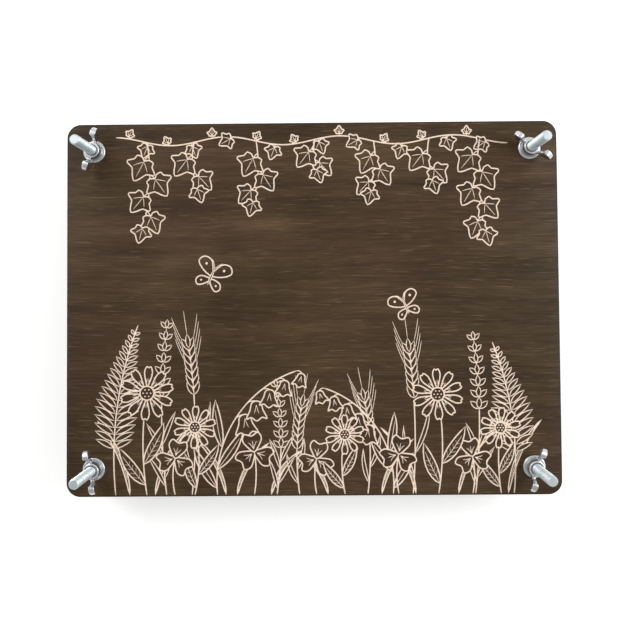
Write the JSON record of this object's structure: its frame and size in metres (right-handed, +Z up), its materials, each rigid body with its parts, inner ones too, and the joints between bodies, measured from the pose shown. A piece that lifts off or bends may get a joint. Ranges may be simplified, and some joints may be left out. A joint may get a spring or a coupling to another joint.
{
  "type": "flower press",
  "caption": "Screw-down flower press: two rounded plywood boards squeeze corrugated cards and blotting sheets with corner carriage bolts, washers and wing nuts.",
  "frame": {"origin": "centre of the bottom board's underside, on the surface the press stands on", "axes": "+X along the boards' long side to the right, +Y towards the back, +Z up along the bolts"},
  "size_m": [0.3, 0.227, 0.079],
  "materials": {
    "walnut_stained_plywood": "satin stain",
    "kraft_corrugated_card": "matt",
    "blotting_paper": "matt fibrous",
    "zinc_plated_bolt_steel": "zinc plate",
    "zinc_plated_washer_steel": "zinc plate",
    "zinc_plated_nut_steel": "zinc plate"
  },
  "bodies": {
    "base": {"bottom_board": "walnut_stained_plywood", "corrugated_card_1": "kraft_corrugated_card", "blotting_sheet_1_lower": "blotting_paper", "carriage_bolt_front_left": "zinc_plated_bolt_steel", "carriage_bolt_front_right": "zinc_plated_bolt_steel", "carriage_bolt_back_left": "zinc_plated_bolt_steel", "carriage_bolt_back_right": "zinc_plated_bolt_steel"},
    "lid": {"top_board": "walnut_stained_plywood", "washer_front_left": "zinc_plated_washer_steel", "washer_front_right": "zinc_plated_washer_steel", "washer_back_left": "zinc_plated_washer_steel", "washer_back_right": "zinc_plated_washer_steel"},
    "layer_1": {"blotting_sheet_1_upper": "blotting_paper", "corrugated_card_2": "kraft_corrugated_card", "blotting_sheet_2_lower": "blotting_paper"},
    "layer_2": {"blotting_sheet_2_upper": "blotting_paper", "corrugated_card_3": "kraft_corrugated_card", "blotting_sheet_3_lower": "blotting_paper"},
    "layer_3": {"blotting_sheet_3_upper": "blotting_paper", "corrugated_card_4": "kraft_corrugated_card", "blotting_sheet_4_lower": "blotting_paper"},
    "layer_4": {"blotting_sheet_4_upper": "blotting_paper", "corrugated_card_5": "kraft_corrugated_card"},
    "nut_front_left": {"wing_nut_front_left": "zinc_plated_nut_steel"},
    "nut_front_right": {"wing_nut_front_right": "zinc_plated_nut_steel"},
    "nut_back_left": {"wing_nut_back_left": "zinc_plated_nut_steel"},
    "nut_back_right": {"wing_nut_back_right": "zinc_plated_nut_steel"}
  },
  "joints": [
    {"name": "lid_lift", "type": "slide", "parent": "base", "child": "lid", "axis": [0, 0, 1], "range_m": [0, 0.03]},
    {"name": "layer_1_rise", "type": "slide", "parent": "base", "child": "layer_1", "axis": [0, 0, 1], "range_m": [0, 0.0075]},
    {"name": "layer_2_rise", "type": "slide", "parent": "base", "child": "layer_2", "axis": [0, 0, 1], "range_m": [0, 0.015]},
    {"name": "layer_3_rise", "type": "slide", "parent": "base", "child": "layer_3", "axis": [0, 0, 1], "range_m": [0, 0.0225]},
    {"name": "layer_4_rise", "type": "slide", "parent": "base", "child": "layer_4", "axis": [0, 0, 1], "range_m": [0, 0.03]},
    {"name": "nut_turn_front_left", "type": "hinge", "parent": "lid", "child": "nut_front_left", "pos_m": [-0.133, -0.0965, 0.0402], "axis": [0, 0, 1], "range_deg": [0, 10800]},
    {"name": "nut_turn_front_right", "type": "hinge", "parent": "lid", "child": "nut_front_right", "pos_m": [0.133, -0.0965, 0.0402], "axis": [0, 0, 1], "range_deg": [0, 10800]},
    {"name": "nut_turn_back_left", "type": "hinge", "parent": "lid", "child": "nut_back_left", "pos_m": [-0.133, 0.0965, 0.0402], "axis": [0, 0, 1], "range_deg": [0, 10800]},
    {"name": "nut_turn_back_right", "type": "hinge", "parent": "lid", "child": "nut_back_right", "pos_m": [0.133, 0.0965, 0.0402], "axis": [0, 0, 1], "range_deg": [0, 10800]}
  ],
  "couplings": [
    {"joint": "layer_1_rise", "follows": "lid_lift", "ratio": 0.25},
    {"joint": "layer_2_rise", "follows": "lid_lift", "ratio": 0.5},
    {"joint": "layer_3_rise", "follows": "lid_lift", "ratio": 0.75},
    {"joint": "layer_4_rise", "follows": "lid_lift", "ratio": 1},
    {"joint": "nut_turn_front_left", "follows": "lid_lift", "rad_per_m": 6283.2},
    {"joint": "nut_turn_front_right", "follows": "lid_lift", "rad_per_m": 6283.2},
    {"joint": "nut_turn_back_left", "follows": "lid_lift", "rad_per_m": 6283.2},
    {"joint": "nut_turn_back_right", "follows": "lid_lift", "rad_per_m": 6283.2}
  ]
}
